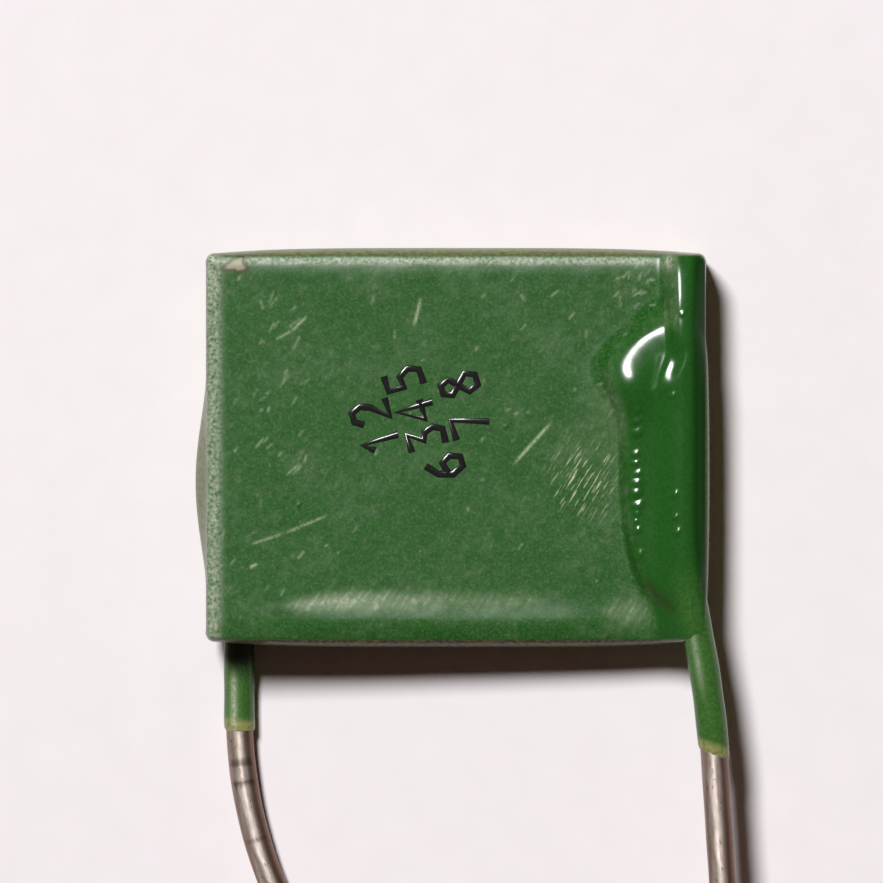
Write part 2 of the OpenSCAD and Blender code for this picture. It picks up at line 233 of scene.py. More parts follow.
# %% [markdown]
# ## The draped lacquer as a height over the face
# Lacquer is liquid when the part is dipped: it pulls tight over the wire as a ridge with
# steep sides, spreads over the solder as a lump with a soft foot, gathers in a fat edge
# where it drained, and thins towards the corners. Such a skin could be sculpted by hand or
# shrunk onto wire and solder. Here each of its forms is one smooth formula and the skin's
# height is their soft sum, so that every form keeps its measured size, and the skin can be
# as fine as the mesh that carries it.

# %% Soft steps, humps and ovals
def smooth(t):
    """A soft step from 0 to 1."""
    t = np.clip(t, 0, 1)
    return t * t * (3 - 2 * t)


def rise(value, start, width):
    """0 up to start and 1 from start + width on, with a soft step between."""
    return smooth((value - start) / width)


def fall(value, end, width):
    """1 up to end - width and 0 from end on, with a soft step between."""
    return smooth((end - value) / width)


def hump(x, middle, width, power=2):
    """A soft rise to 1 at its middle."""
    return np.exp(-((np.abs(x - middle) / width) ** power))


def oval(u, v, reach, half, power):
    """0 in the middle of a superellipse and 1 on its outline."""
    return ((np.abs(u) / reach) ** power + (np.abs(v) / half) ** power) ** (1 / power)


def dome(rho, round_top, foot):
    """A dome of height 1: flatter with round_top, and with a softer foot with foot."""
    return np.maximum(1 - rho**round_top, 0) ** foot


print("a hump one width from its middle:", round(float(hump(1, 0, 1)), 2))

# %% Line of each wire
# Each wire runs straight down. The right one starts to lean outwards half way down.
LEAN_R, LEAN = 8.0, math.radians(10.4)
LEAN_START = 2.58
LEAN_Y = LEAN_START - HALF_H
FRONT, BACK = 1, -1


def wire_x(side, y):
    """Middle of the wire at height y."""
    if side == BACK:
        return np.full_like(y, -LEFT_X)
    down = np.maximum(LEAN_Y - y, 0)
    arc = LEAN_R * math.sin(LEAN)
    on_arc = LEAN_R - np.sqrt(LEAN_R**2 - np.minimum(down, arc) ** 2)
    return RIGHT_X + on_arc + np.maximum(down - arc, 0) * math.tan(LEAN)


leaned = float(wire_x(FRONT, np.array([-HALF_H]))[0]) - RIGHT_X
print("the right wire leans out by", round(leaned, 2), "mm over the body")

# %% Lacquered solder
# Behind, the solder is one plain dome. In front it is a flat terrace that flares at its
# upper end and rises a little to the wire.
LUMP_LOW, LUMP_REACH, OUTER_SHARE = 0.3, 1.05, 0.7
TERRACE_H, TERRACE_RISE, RISE_REACH = 0.32, 0.12, 1.5
TERRACE_REACH, TERRACE_HALF, TERRACE_POWER = 1.42, 3.5, 2.4
FLARE, FLARE_Y, FLARE_HALF = 0.74, 1.9, 0.9
TERRACE_TOP, TERRACE_FOOT = 20, 3
BACK_HALF, BACK_POWER, BACK_OUTER_POWER = 3.2, 3.4, 2.4
BACK_TOP, BACK_FOOT, BACK_CLEAR = 3, 1.4, 0.003


def terrace_oval(x, y):
    """0 in the middle of the solder in front and 1 at its foot."""
    u = x - RIGHT_X
    inner = TERRACE_REACH + FLARE * hump(y, FLARE_Y, FLARE_HALF)
    reach = np.where(u < 0, inner, OUTER_SHARE * LUMP_REACH)
    return oval(u, y + LUMP_LOW, reach, TERRACE_HALF, TERRACE_POWER)


def lump(side, x, y):
    """Height of the lacquered solder."""
    u = side * x - (RIGHT_X if side == FRONT else LEFT_X)
    if side == FRONT:
        flat = TERRACE_H + TERRACE_RISE * np.clip(1 - np.abs(u) / RISE_REACH, 0, 1) ** 2
        return flat * dome(terrace_oval(x, y), TERRACE_TOP, TERRACE_FOOT)
    inner = u < 0
    reach = np.where(inner, LUMP_REACH, OUTER_SHARE * LUMP_REACH)
    rho = oval(u, y + LUMP_LOW, reach, BACK_HALF, np.where(inner, BACK_POWER, BACK_OUTER_POWER))
    return (LUMP_H - BACK_CLEAR) * dome(rho, BACK_TOP, BACK_FOOT)


beside = np.array([RIGHT_X - 1.0]), np.array([0.0])
print("terrace 1 mm beside the wire:", round(float(lump(FRONT, *beside)[0]), 3), "mm high")

# %% Sags in the lacquer
# Where much lacquer met above the solder it swelled under the flare, and it sagged to a
# small tilted flat on the ridge's inner shoulder.
SWELL_AT, SWELL_H, SWELL_R = (3.87, 1.34), 0.19, 0.63
FLAT_AT, FLAT_WAY, FLAT_H = (4.65, 1.72), math.radians(66), 0.53
FLAT_SLOPE, FLAT_ACROSS, FLAT_ALONG, FLAT_POWER = (0.154, 0.235), 0.18, 0.42, 3


def swelling(x, y):
    """Height of the broad swelling under the flare."""
    return SWELL_H * hump(np.hypot(x - SWELL_AT[0], y - SWELL_AT[1]), 0, SWELL_R)


def facet(x, y, height):
    """Lays the tilted flat on a height."""
    off_x, off_y = x - FLAT_AT[0], y - FLAT_AT[1]
    across = off_x * math.sin(FLAT_WAY) - off_y * math.cos(FLAT_WAY)
    along = off_x * math.cos(FLAT_WAY) + off_y * math.sin(FLAT_WAY)
    flat = FLAT_H + FLAT_SLOPE[0] * off_x - FLAT_SLOPE[1] * off_y
    here = hump(across, 0, FLAT_ACROSS, FLAT_POWER) * hump(along, 0, FLAT_ALONG, FLAT_POWER)
    return height + here * (flat - height)


flat_tilt = math.degrees(math.atan(math.hypot(*FLAT_SLOPE)))
print("the flat is tilted by", round(flat_tilt, 1), "degrees")

# %% Ridge over the wire
# In front the ridge slopes to the wire's inner end, and its inner side spreads where it
# meets the solder. Behind it is narrower, and low where the run of lacquer leaves it.
RIDGE_IN, RIDGE_OUT, RIDGE_SHIFT = 0.39, 0.5, 0.04
SPREAD_Y, SPREAD_LEAN, SPREAD_LONG, SPREAD = 2.2, 0.6, 0.6, 0.32
STEEP, STEEP_LESS, OUTER_STEEP = 3.8, 1.3, 2.5
TIP_H, TIP_RISE, TIP_SLOPE, TIP_POWER = 0.345, 0.235, 1.25, 5
BACK_TIP, BACK_TIP_LONG, BACK_END, BACK_END_UP, BACK_END_LONG = 0.45, 0.9, 0.5, 0.3, 0.9
BACK_WIDE, BACK_STEEP = 0.42, 4


def ridge(side, x, y):
    """Height of the lacquer over the wire."""
    u = side * (x - wire_x(side, y)) - (RIDGE_SHIFT if side == FRONT else 0)
    down = HALF_H - y
    if side == FRONT:
        spread = fall(y, SPREAD_Y + SPREAD_LEAN * u, SPREAD_LONG)
        inner = hump(u, 0, RIDGE_IN + SPREAD * spread, STEEP - STEEP_LESS * spread)
        across = np.where(u < 0, inner, hump(u, 0, RIDGE_OUT, OUTER_STEEP))
        s = np.clip(down / TIP_SLOPE, 0, 1)
        return (TIP_H + TIP_RISE * TIP_SLOPE * (s - s**TIP_POWER / TIP_POWER)) * across
    top = BACK_TIP + (1 - BACK_TIP) * rise(down, 0, BACK_TIP_LONG * TIP_GAP)
    low = BACK_END + (1 - BACK_END) * rise(y, BACK_END_UP - HALF_H, BACK_END_LONG)
    return RIDGE_H * top * low * hump(u, 0, BACK_WIDE, BACK_STEEP)


on_crest = np.array([RIGHT_X]), np.array([0.0])
print("ridge in front:", round(float(ridge(FRONT, *on_crest)[0]), 3), "mm high")

# %% Height of the whole face
SHOULDER_W, SHOULDER_DROP = 0.45, 0.06
BEAD_H, BEAD_UP, BEAD_W, BEAD_SHORT, BEAD_FADE = 0.05, 0.35, 0.3, 1.6, 1.5


def face_height(side, x, y):
    """Height of the lacquered surface over the middle of the ceramic."""
    edge = np.minimum(HALF_W - np.abs(x), HALF_H - np.abs(y))
    shoulder = SHOULDER_DROP * np.clip(1 - edge / SHOULDER_W, 0, 1) ** 2
    bead = BEAD_H * hump(y, BEAD_UP - HALF_H, BEAD_W)
    bead = bead * fall(np.abs(x), HALF_W - BEAD_SHORT, BEAD_FADE)
    over_wire = blend(ridge(side, x, y), lump(side, x, y))
    if side == FRONT:
        over_wire = facet(x, y, over_wire + swelling(x, y))
    return FACE_Z - shoulder + bead + over_wire


probe = np.array([0.0, RIGHT_X]), np.array([0.0, 0.0])
print("face and crest height:", np.round(face_height(FRONT, *probe), 3))

# %% [markdown]
# ## Waves and droplets
# Dried lacquer is never quite flat: it keeps soft waves, and here and there a droplet of it
# dried as a tiny dome. They could be bumps in the material alone, but then they would be
# missing from the shape, so they are added to the height. Most of the droplets sit in a
# chain along the foot of the solder.

# %% Small waves and droplets
WAVE_SIZES = 0.7, 1.6
BROAD_H, BROAD, FINE_H, FINE = 0.006, 1.6, 0.0012, 0.35
waves_made = random.Random(7)


def waves(x, y, size, count=14):
    """Random waves of about one size, between about -1 and 1."""
    total = 0
    for i in range(count):
        way, phase = waves_made.uniform(0, math.tau), waves_made.uniform(0, math.tau)
        k = math.tau / (size * waves_made.uniform(*WAVE_SIZES))
        total = total + np.cos(k * (x * math.cos(way) + y * math.sin(way)) + phase)
    return total / math.sqrt(count / 2) / 2


CHAIN_X, SWAY, SWAY_TURNS = 3.91, 0.03, 9
CHAIN_R, R_VARIES, R_TURNS = 0.16, 0.05, 5
CHAIN = (0.86, 0.6, 0.4, -0.1, -0.3, -0.52, -0.71, -0.91, -1.2, -1.38, -1.57, -1.76, -2.3, -2.84)
DROPLETS = []
for y in CHAIN:
    x = CHAIN_X + SWAY * math.sin(SWAY_TURNS * y)
    DROPLETS.append((x, y, CHAIN_R + R_VARIES * math.sin(R_TURNS * y)))
DROPLETS += [(4.9, 2.93, 0.1), (4.66, 1.16, 0.12), (4.69, -0.98, 0.15), (4.71, -1.48, 0.13)]
DROPLETS += [(4.76, -1.8, 0.14), (5.07, -3.38, 0.1), (-3.42, -1.23, 0.08), (1.08, 0.47, 0.08)]
DROPLET_H, DROPLET_LEAN, DROPLET_ROUND = 0.1, (0.17, 0.26), 1.2


def droplets(x, y):
    """Height of the droplets, which sagged a little as they dried."""
    height = np.zeros_like(x)
    for px, py, r in DROPLETS:
        near = np.clip(1 - ((x - px) ** 2 + (y - py) ** 2) / r**2, 0, 1)
        lean = DROPLET_LEAN[0] * (x - px) - DROPLET_LEAN[1] * (y - py)
        height = np.maximum(height, (DROPLET_H * r + lean) * near**DROPLET_ROUND)
    return height


def relief(x, y):
    """Fine relief of the front face: soft waves, and the droplets."""
    return BROAD_H * waves(x, y, BROAD) + FINE_H * waves(x, y, FINE) + droplets(x, y)


print(len(DROPLETS), "droplets")

# %% [markdown]
# ## The skin
# The lacquer is one closed surface, with a thin edge all round. A cube is cut into a fine
# net, and every point of the net is then moved onto the surface: the cube's front and back
# become the two draped faces, and its four sides become the swollen walls. A net made in
# one piece has no seam to close. It is closer near the two wires, where the skin bends
# most, and the front is cut into thirds once more because it is seen from nearest.

# %% Net for the skin
COLUMNS, ROWS, WALL_ROWS, FRONT_CUTS = 104, 76, 10, 2
NET_EDGE, HALF_CUBE = 0.4999, 0.5
bm = bmesh.new()
bmesh.ops.create_cube(bm, size=1)
for axis, cuts in ((0, COLUMNS), (1, ROWS), (2, WALL_ROWS)):
    along = [e for e in bm.edges if abs((e.verts[0].co - e.verts[1].co)[axis]) > HALF_CUBE]
    bmesh.ops.subdivide_edges(bm, edges=along, cuts=cuts - 1, use_grid_fill=True)
front = [e for e in bm.edges if all(v.co.z > NET_EDGE for v in e.verts)]
bmesh.ops.subdivide_edges(bm, edges=front, cuts=FRONT_CUTS, use_grid_fill=True)
print("net:", len(bm.verts), "points,", len(bm.faces), "faces")

# %% Drape the net
# A bulge has a height, a middle below the body's own, half its length and a power.
CROWD = 0.45
CORNER_R = 0.16
WALL_SWELL, END_SWELL, SWELL_FADE, FADE_POWER = 0.2, 0.05, 0.65, 4
LEFT_BULGE, RIGHT_BULGE = (0.25, 0.75, 2.4, 1.9), (0.08, 0.6, 2.9, 0.5)
BULGE_NEAR, BULGE_ROUND = 1.5, 1.5


def corner_point(x, y, grow):
    """Rounds the corners of the outline, and moves a point of the wall out by grow."""
    cx = np.clip(x, CORNER_R - HALF_W, HALF_W - CORNER_R)
    cy = np.clip(y, CORNER_R - HALF_H, HALF_H - CORNER_R)
    far = np.hypot(x - cx, y - cy)
    nx, ny = (x - cx) / far, (y - cy) / far
    return cx + nx * (CORNER_R + grow(nx, ny)), cy + ny * (CORNER_R + grow(nx, ny))


def drape(net):
    """Moves the points of the unit net onto the lacquer."""
    across, up, through = net.T
    p = across * 2
    x = HALF_W * ((1 - CROWD) * p + CROWD * np.sin(p * math.pi / 2))
    y = FACE_H * up
    turn = np.pi * (0.5 - through)
    rim = (np.abs(across) > NET_EDGE) | (np.abs(up) > NET_EDGE)
    high, low = face_height(FRONT, x, y), -face_height(BACK, x, y)
    down = (1 - np.cos(turn)) / 2
    z = high * (1 - down) + low * down
    z = z + relief(x, y) * (through > NET_EDGE) * ~rim
    left = x < 0
    height, middle, half, power = (np.where(left, *pair) for pair in zip(LEFT_BULGE, RIGHT_BULGE))
    bulge = height * np.maximum(1 - ((y + middle) / half) ** 2, 0) ** power
    side_turn = np.where(left, np.pi - turn, turn)
    bulge = bulge * np.maximum(np.sin(np.minimum(side_turn * BULGE_NEAR, np.pi)), 0) ** BULGE_ROUND
    crown = WALL_SWELL * (1 - SWELL_FADE * (x / HALF_W) ** FADE_POWER) * np.sin(turn)
    ends = END_SWELL * np.sin(turn) + bulge

    def grow(nx, ny):
        return np.abs(nx) * ends[rim] + np.abs(ny) * crown[rim]

    rx, ry = x.copy(), y.copy()
    rx[rim], ry[rim] = corner_point(x[rim], y[rim], grow)
    return np.column_stack([rx, ry, z])


skin = drape(np.array([v.co for v in bm.verts]))
for v, place in zip(bm.verts, skin):
    v.co = place
bmesh.ops.recalc_face_normals(bm, faces=bm.faces)
print("skin volume:", round(bm.calc_volume(), 1), "cubic mm")

# %% Finish a mesh
SHARP = math.radians(50)


def finish(bm, name):
    """Lays a mesh down where the body lies and makes it an object."""
    bmesh.ops.transform(bm, matrix=LAY_DOWN, verts=bm.verts)
    mesh = bpy.data.meshes.new(name)
    bm.to_mesh(mesh)
    bm.free()
    mesh.shade_smooth()
    mesh.set_sharp_from_angle(angle=SHARP)
    piece = bpy.data.objects.new(name, mesh)
    bpy.context.scene.collection.objects.link(piece)
    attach(piece, "root")
    return piece


coat = finish(bm, "lacquer_skin")
print("skin:", len(coat.data.polygons), "faces")

# %% [markdown]
# ## The wires
# Each wire is drawn copper, straight over the termination, bent where it was formed, and
# cut off at its free end. A curve with a round bevel would give much the same shape, but a
# row of rings extruded from station to station closes the tube, and keeps on every point
# how far along and how far round it lies, which its finish needs.

# %% Routes
# A straight stretch has a length. A bend has a radius, an angle and the way it turns.
LEAN_PAST = 0.3
LEAN_RUN = (LEAN_START + LEAN_PAST - LEAN_R * math.sin(LEAN)) / math.cos(LEAN)
FREE_LEAN, FREE_R = math.radians(3.8), 20.5
LEAD_LENGTH = 20.0
TIP_Y = HALF_H - TIP_GAP
LEFT_TURN, TURN_R, TURN_START = math.radians(24), 10.0, 1.65
FOOT_R, FOOT_GAP = 5.0, 0.01
FOOT_BEND = math.acos(1 - (CREST_H - RIDGE_H - FOOT_GAP) / (2 * FOOT_R))
RIGHT_ROUTE = [
    (TIP_Y - LEAN_Y,),
    (LEAN_R, LEAN, 0),
    (LEAN_RUN,),
    (FREE_R, LEAN - FREE_LEAN, math.pi),
    (LEAD_LENGTH - LEAN_PAST / math.cos(LEAN) - FREE_R * (LEAN - FREE_LEAN),),
]
LEFT_ROUTE = [
    (TIP_Y + HALF_H,),
    (FOOT_R, FOOT_BEND, -math.pi / 2),
    (FOOT_R, FOOT_BEND, math.pi / 2),
    (TURN_START - 2 * FOOT_R * math.sin(FOOT_BEND),),
    (TURN_R, LEFT_TURN, TILT),
    (LEAD_LENGTH - TURN_START - TURN_R * LEFT_TURN,),
]
print("bend at the foot:", round(math.degrees(FOOT_BEND), 1), "degrees")

# %% Stations along a route
WIRE_STEP = 0.08


def bend(radius, angle, way):
    """The move from the start of a bend to a place this far round it."""
    turn = Matrix.Rotation(way, 4, "Z")
    move = Matrix.Translation((radius * (1 - math.cos(angle)), 0, radius * math.sin(angle)))
    return turn @ move @ Matrix.Rotation(angle, 4, "Y") @ turn.inverted()


def stations(route, start):
    """Places along a route as matrices, with the wire running along their local Z axis."""
    here = Matrix.Translation(start) @ Matrix.Rotation(math.pi / 2, 4, "X")
    found = [(0.0, here)]
    gone = 0.0
    for size, *turning in route:
        length = size * turning[0] if turning else size
        pieces = max(round(length / WIRE_STEP), 1)
        before = here
        for i in range(1, pieces + 1):
            done = length * i / pieces
            if turning:
                here = before @ bend(size, turning[0] * i / pieces, turning[1])
            else:
                here = before @ Matrix.Translation((0, 0, done))
            found.append((gone + done, here))
        gone += length
    return found


RIGHT_STATIONS = stations(RIGHT_ROUTE, (RIGHT_X, TIP_Y, WIRE_Z))
LEFT_STATIONS = stations(LEFT_ROUTE, (-LEFT_X, TIP_Y, -WIRE_Z))
print("stations:", len(LEFT_STATIONS), "and", len(RIGHT_STATIONS))

# %% Tube along a route
SIDES = 40


def tube(places, radius):
    """A closed tube: radius(along, turn) gives its radius at each place."""
    bm = bmesh.new()
    along, turn = bm.verts.layers.float.new("along"), bm.verts.layers.float.new("turn")
    ring = bmesh.ops.create_circle(bm, cap_ends=False, radius=1, segments=SIDES)["verts"]
    for v in ring:
        v[turn] = math.atan2(v.co.y, v.co.x)
    edges = list(bm.edges)
    bmesh.ops.contextual_create(bm, geom=edges)
    for i, (gone, place) in enumerate(places):
        if i:
            made = bmesh.ops.extrude_edge_only(bm, edges=edges)["geom"]
            edges = [e for e in made if isinstance(e, bmesh.types.BMEdge)]
            edges = [e for e in edges if all(v in made for v in e.verts)]
            ring = [v for v in made if isinstance(v, bmesh.types.BMVert)]
        for v in ring:
            v[along] = gone
            way = Vector((math.cos(v[turn]), math.sin(v[turn]), 0))
            v.co = place @ (way * radius(gone, v[turn]))
    bmesh.ops.contextual_create(bm, geom=edges)
    bmesh.ops.recalc_face_normals(bm, faces=bm.faces)
    return bm


print("a ring has", SIDES, "sides")

# %% Wires
SNIP, SNIP_LONG = 0.09, 0.5
WIRE_CLEAR, UNEVEN, UNEVEN_TURNS = 0.002, 0.004, 2.3


def wire_radius(gone, turn):
    """The drawn wire, snipped thin at its inner end and a little uneven where it was held."""
    snipped = SNIP * max(1 - gone / SNIP_LONG, 0) ** 2
    return WIRE_R - snipped - WIRE_CLEAR - UNEVEN * math.sin(gone * UNEVEN_TURNS + turn) ** 2


wires = {}
for name, places in (("left_wire", LEFT_STATIONS), ("right_wire", RIGHT_STATIONS)):
    wires[name] = finish(tube(places, wire_radius), name)
    print(name, len(wires[name].data.polygons), "faces")

# %% [markdown]
# ## Runs of lacquer down the wires
# Below the body the lacquer clings to each wire as a thin sleeve. It starts inside the
# ridge and ends in a thin lip, a little aslant, as the part didn't hang quite straight when
# it drained. It could be part of the skin, but a second tube on the wire's own stations is
# simpler and follows each bend. Past its lip it dives under the wire's surface, so the lip
# is where the two tubes cross.

# %% Runs of lacquer
# A run has its stations, its length below the body and the slant of its lip.
RUNS = {"left_run": (LEFT_STATIONS, 2.07, 0.03), "right_run": (RIGHT_STATIONS, 2.57, 0.14)}
EDGE_GONE = TIP_Y + HALF_H
RUN_START, RUN_TAPER, RUN_SUNK = 1.95, 0.8, 0.5
LIP_LONG, LIP_FILM, LIP_ROUND, PAST_LIP = 0.1, 0.06, 0.6, -0.3
RUN_WAVE, RUN_TURNS = 0.004, 5


def run_radius(first, last, slant):
    """The radius of a sleeve that starts at first, and at last ends in a lip."""

    def radius(gone, turn):
        lip = last - slant * (1 - math.cos(turn))
        film = min(1, (lip - gone) / LIP_LONG + LIP_FILM) ** LIP_ROUND if gone < lip else PAST_LIP
        start = min(1, (gone - first) / RUN_TAPER)
        wave = RUN_WAVE * (1 + math.sin(gone * RUN_TURNS))
        return WIRE_R + COAT_WIRE * (film * start - RUN_SUNK * (1 - start)) - wave

    return radius


runs = {}
for name, (places, run, slant) in RUNS.items():
    first, last = EDGE_GONE - RUN_START, EDGE_GONE + run + slant
    kept = [p for p in places if first < p[0] < last]
    runs[name] = finish(tube(kept, run_radius(first, last, slant)), name)
    print(name, run, "mm long below the body")

# %% [markdown]
# ## Painting the skin
# The lacquer is one material, but not one look: it is glossy and deep over solder and wire,
# hazy and scuffed on the flat plate, worn pale along the edges and darker and browner on the
# bottom wall, with painted highlights and painted shade where the light falls.
# An image could carry all this, but it would blur from near. Instead each look is a number
# painted on every point of the skin by its place, and the material turns the numbers into
# colour and gloss. The places are in millimetres in the body's own frame.

# %% Spots, strokes and paint
X, Y, Z = skin.T
U = X - wire_x(FRONT, Y)
in_front = Z > 0
STROKE_FADE = 0.25


def spot(x, y, wide, high, power=2):
    """1 in the middle of a soft spot on the skin."""
    return hump(X, x, wide, power) * hump(Y, y, high, power)


def stroke(line, width):
    """1 on a straight scratch, fading to 0 at its sides and its two ends."""
    x0, y0, x1, y1 = line
    length = math.hypot(x1 - x0, y1 - y0)
    along = ((X - x0) * (x1 - x0) + (Y - y0) * (y1 - y0)) / length**2
    off = np.abs((X - x0) * (y1 - y0) - (Y - y0) * (x1 - x0)) / length
    return hump(off, 0, width) * rise(along, 0, STROKE_FADE) * fall(along, 1, STROKE_FADE)


def paint(mesh, name, values):
    """Keeps one number for every point of a mesh."""
    layer = mesh.attributes.new(name, "FLOAT", "POINT")
    layer.data.foreach_set("value", np.clip(values, 0, 1).astype(np.float32))


def layer_of(mesh, name):
    """The numbers kept on a mesh under this name."""
    values = np.zeros(len(mesh.vertices), np.float32)
    mesh.attributes[name].data.foreach_get("value", values)
    return values


def facing_of(mesh):
    """How far every point of a mesh faces along x, y and z."""
    facing = np.empty(3 * len(mesh.vertices), np.float32)
    mesh.vertices.foreach_get("normal", facing)
    return facing.reshape(-1, 3).T


print("points to paint:", len(X))

# %% Thick and thin lacquer
# thick and glaze lie over solder and wire, painted shade darkens the ridge's far side that is
# turned from the light, thin is where the skin pulls tight over the leaning wire, and wall
# is on the sides and behind.
rho = terrace_oval(X, Y)
on_wire = rise(ridge(FRONT, X, Y), 0.06, 0.08)
hazy_flank = 0.85 * rise(Y, 2.2, 0.5) * fall(U, -0.04, 0.12)
thick = np.maximum(fall(rho, 0.9, 0.12), on_wire * (1 - hazy_flank))
glaze = np.maximum(fall(rho, 0.95, 0.1), on_wire * (1 - 0.9 * hazy_flank)) * in_front
glaze = np.maximum(glaze, rise(droplets(X, Y), 0, 0.004))
thin = 0.7 * fall(Y, -2.3, 1.1) * hump(U, -0.05, 0.3, 3) * in_front
wall = rise(np.maximum(np.abs(X) - HALF_W, np.abs(Y) - HALF_H), 0.01, 0.05)
wall = np.maximum(wall, ~in_front)
under = wall * (Y < -HALF_H + 0.2)
# Painted shade on the ridge's far side; the bottom wall joins only to quiet its gloss.
flank = np.maximum(rise(U, 0.12, 0.2) * in_front, under)
print("points on thick lacquer:", int((thick > 0.5).sum()))

# %% Worn edges with painted highlights, a chip, dust and painted shade
# The lacquer is rubbed pale along the left and upper edges, and these bands are partly a
# painted highlight where the rounded edges catch the light. A painted highlight also lies on
# the crest of the fat edge and at the top of the front ridge. A chip at one corner bares the
# ceramic, with dirt round it and in a crack, and the hollow beside the ridge gets painted
# shade. Dust dulls the foot of the solder and the dip beside the wire.
CHIP_X, CHIP_Y, CHIP_W, CHIP_H = -4.76, 3.97, 0.2, 0.14
CHIP_TEETH = (0.22, 3, 1), (0.16, 5, 0)
FAR_OFF = 9
CRACK, CRACK_W = (4.08, 2.4, 4.3, 2.56), 0.04
HOLLOW, HOLLOW_W = (3.98, -2.8, 4.86, -3.68), 0.12
DIP, DIP_W = (4.24, 1.15, 4.47, 2.15), 0.07
bead_line = -HALF_H + 0.72 + 0.1 * rise(X, -3.6, 1.2)
# Pale edges: partly wear, partly a painted highlight on the rounded edge.
left_edge = hump(X, -HALF_W + 0.1, 0.2, 3) * (0.75 + 0.25 * rise(Y, 3, 1))
top_edge = 0.9 * hump(Y, HALF_H - 0.09, 0.09, 3) * fall(X, 4.5, 0.3)
worn = np.maximum(left_edge, top_edge) * (1 - wall) * in_front
# A painted highlight at the top of the front ridge.
worn = np.maximum(worn, spot(4.6, 4.03, 0.13, 0.17))
# A painted highlight on the crest of the fat edge.
worn = np.maximum(worn, 0.75 * hump(X, -2.6, 0.9) * hump(Y, bead_line, 0.07) * in_front)
chip_off = np.hypot((X - CHIP_X) / CHIP_W, (Y - CHIP_Y) / CHIP_H) + ~in_front * FAR_OFF
around_chip = np.arctan2(Y - CHIP_Y, X - CHIP_X)
teeth = sum(high * np.sin(times * around_chip + start) for high, times, start in CHIP_TEETH)
chip_off = chip_off * (1 + teeth)
chip = 0.6 * fall(chip_off, 1.05, 0.3)
rim = np.maximum(0.75 * hump(chip_off, 1.05, 0.3), 0.9 * stroke(CRACK, CRACK_W))
# The stroke in the hollow beside the ridge is painted shade.
rim = np.maximum(rim, 0.35 * stroke(HOLLOW, HOLLOW_W)) * in_front
foot = hump(rho, 1, 0.07, 4) * rise(Y, 0.7, 0.4) * (1 - on_wire)
foot = np.maximum(foot, 0.9 * stroke(DIP, DIP_W)) * in_front
print("points worn pale:", int((worn > 0.5).sum()))

# %% Scratches and scuffs
# A long scratch has its two ends, its width and its strength. The scuffs run mostly one
# way, as a part in a drawer is rubbed by its neighbours.
scratch_made = random.Random(11)
SCUFF_WAY, SCUFF_W = math.radians(58), 0.024
LONG_SCRATCHES = [
    ((1.2, -0.42, 2.12, 0.6), 0.03, 0.9),
    ((-3.95, 2.33, -3.55, 2.55), 0.025, 0.6),
    ((-3.6, 2.5, -3.22, 2.88), 0.025, 0.7),
    ((-0.92, 2.6, -0.75, 3.3), 0.03, 0.75),
    ((-4.5, -2.12, -3.7, -1.85), 0.025, 0.6),
    ((-3.8, -1.9, -2.74, -1.45), 0.025, 0.6),
    ((-4.5, -2.62, -4.3, -2.52), 0.03, 0.8),
]
scratch = np.zeros_like(X)
for line, width, strength in LONG_SCRATCHES:
    scratch = np.maximum(scratch, strength * stroke(line, width))


def scuffs(count, x_range, y_range, lengths, strengths, spread):
    """Many short scratches, most of them in the way of the scuffing."""
    found = np.zeros_like(X)
    for i in range(count):
        x0, y0 = scratch_made.uniform(*x_range), scratch_made.uniform(*y_range)
        way = SCUFF_WAY + scratch_made.gauss(0, spread)
        length = scratch_made.uniform(*lengths)
        line = x0, y0, x0 + length * math.cos(way), y0 + length * math.sin(way)
        strength = scratch_made.uniform(*strengths)
        found = np.maximum(found, strength * stroke(line, SCUFF_W))
    return found


scratch = np.maximum(scratch, scuffs(60, (-5.1, 3.9), (-3.6, 3.9), (0.08, 0.3), (0.15, 0.5), 0.35))
scratch = np.maximum(scratch, scuffs(26, (-4.4, -3.4), (-0.9, 3.4), (0.1, 0.45), (0.2, 0.5), 0.3))
scratch = np.maximum(scratch, scuffs(16, (3.4, 4.2), (3.0, 3.7), (0.1, 0.3), (0.2, 0.6), 0.5))
scratch = scratch * (1 - thick) * in_front * (1 - wall)
scuffed = spot(2.75, -0.7, 0.65, 0.75, 4) * (1 - thick)
print("points with a scratch:", int((scratch > 0.1).sum()))

# %% Haze and a painted highlight
# The plate's haze is stronger beside the solder and in soft patches, and a painted highlight
# lies along the fat edge.
haze = 0.03 + 0.1 * waves(X, Y, 1.8) + 0.08 * waves(X, Y, 0.6) + 0.08 * waves(X, Y, 0.22)
haze += 0.3 * spot(3.45, 0.6, 0.6, 1.5)
# The pale band along the fat edge is a painted highlight.
on_bead = hump(Y, bead_line, 0.17) * rise(X, -3.9, 0.6) * fall(X, 2.4, 1)
haze += (1.5 * hump(X, -2.3, 1.2) + 0.5) * on_bead
haze += 0.7 * spot(3.75, -3.6, 0.45, 0.3)
haze += 0.4 * hazy_flank * on_wire
haze = haze * (1 - thick) * (1 - wall)
print("haze at most:", round(float(haze.max()), 2))

# %% Paint the skin
plate = (1 - thick) * (1 - glaze) * (1 - wall)
painted = {"thick": thick, "glaze": glaze, "flank": flank, "wall": wall, "under": under}
painted.update(worn=worn, scratch=scratch, haze=haze, scuffed=scuffed, chip=chip, rim=rim)
painted.update(thin=thin, foot=foot, plate=plate)
for name, values in painted.items():
    paint(coat.data, name, values)
print("painted on the skin:", ", ".join(painted))
